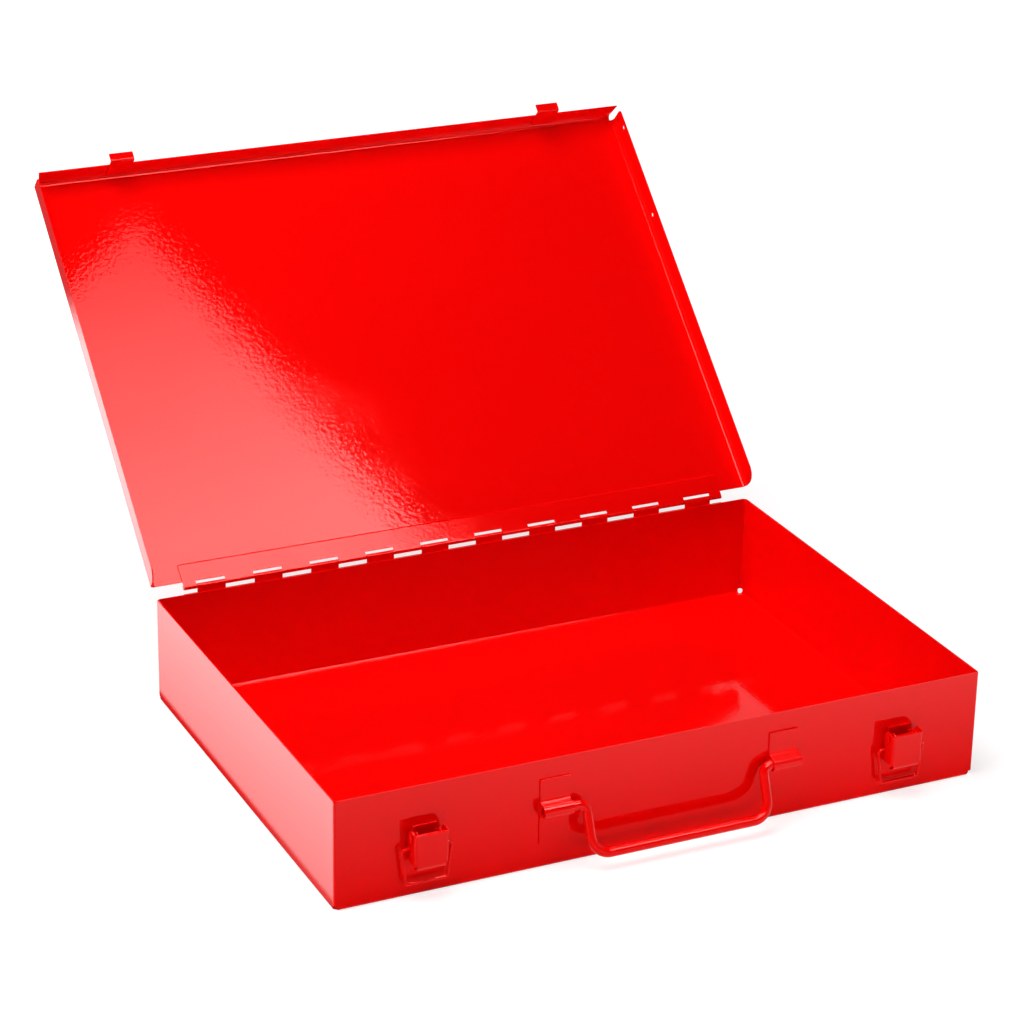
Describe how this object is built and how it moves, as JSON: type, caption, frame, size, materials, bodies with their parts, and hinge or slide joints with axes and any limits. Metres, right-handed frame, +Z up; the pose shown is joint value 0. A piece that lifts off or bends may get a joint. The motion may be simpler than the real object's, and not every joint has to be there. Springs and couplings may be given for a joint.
{
  "type": "portable flat tool case",
  "caption": "Flat portable sheet-steel case: open tray, shallow lid on a piano hinge, draw latches with wire bails and a drop handle in strap brackets.",
  "frame": {"origin": "on the resting plane, under the middle of the tray", "axes": "+X along the width, to the right seen from the front; +Y to the back, where the hinge is; +Z up. The latches and the handle face -Y. The lid stands open at 137 degrees."},
  "size_m": [0.446, 0.553, 0.3089],
  "materials": {
    "case_paint": "gloss powder coat",
    "hinge_paint": "gloss powder coat",
    "fitting_paint": "gloss powder coat",
    "handle_paint": "gloss powder coat"
  },
  "bodies": {
    "tray": {"base_tray": "case_paint", "hinge_base_leaf": "hinge_paint", "hinge_pin": "hinge_paint", "latch_plate_left": "fitting_paint", "latch_plate_right": "fitting_paint", "latch_pin_left": "fitting_paint", "latch_pin_right": "fitting_paint", "handle_bracket_left": "fitting_paint", "handle_bracket_right": "fitting_paint"},
    "lid": {"lid": "case_paint", "hinge_lid_leaf": "hinge_paint", "keeper_left": "fitting_paint", "keeper_right": "fitting_paint"},
    "left_lever": {"latch_lever_left": "fitting_paint"},
    "right_lever": {"latch_lever_right": "fitting_paint"},
    "left_bail": {"latch_bail_left": "fitting_paint"},
    "right_bail": {"latch_bail_right": "fitting_paint"},
    "handle": {"carry_handle": "handle_paint"}
  },
  "joints": [
    {"name": "lid_hinge", "type": "hinge", "parent": "tray", "child": "lid", "pos_m": [0, 0.1542, 0.077], "axis": [-1, 0, 0], "range_deg": [-137, 57]},
    {"name": "left_latch_pivot", "type": "hinge", "parent": "tray", "child": "left_lever", "pos_m": [-0.1625, -0.159, 0.0425], "axis": [-1, 0, 0], "range_deg": [0, 108]},
    {"name": "right_latch_pivot", "type": "hinge", "parent": "tray", "child": "right_lever", "pos_m": [0.1625, -0.159, 0.0425], "axis": [-1, 0, 0], "range_deg": [0, 108]},
    {"name": "left_bail_swing", "type": "hinge", "parent": "left_lever", "child": "left_bail", "pos_m": [-0.1625, -0.1565, 0.0342], "axis": [1, 0, 0], "range_deg": [-174, 5]},
    {"name": "right_bail_swing", "type": "hinge", "parent": "right_lever", "child": "right_bail", "pos_m": [0.1625, -0.1565, 0.0342], "axis": [1, 0, 0], "range_deg": [-174, 5]},
    {"name": "handle_swing", "type": "hinge", "parent": "tray", "child": "handle", "pos_m": [0, -0.15712, 0.0407], "axis": [-1, 0, 0], "range_deg": [-23.5, 159.5]}
  ]
}
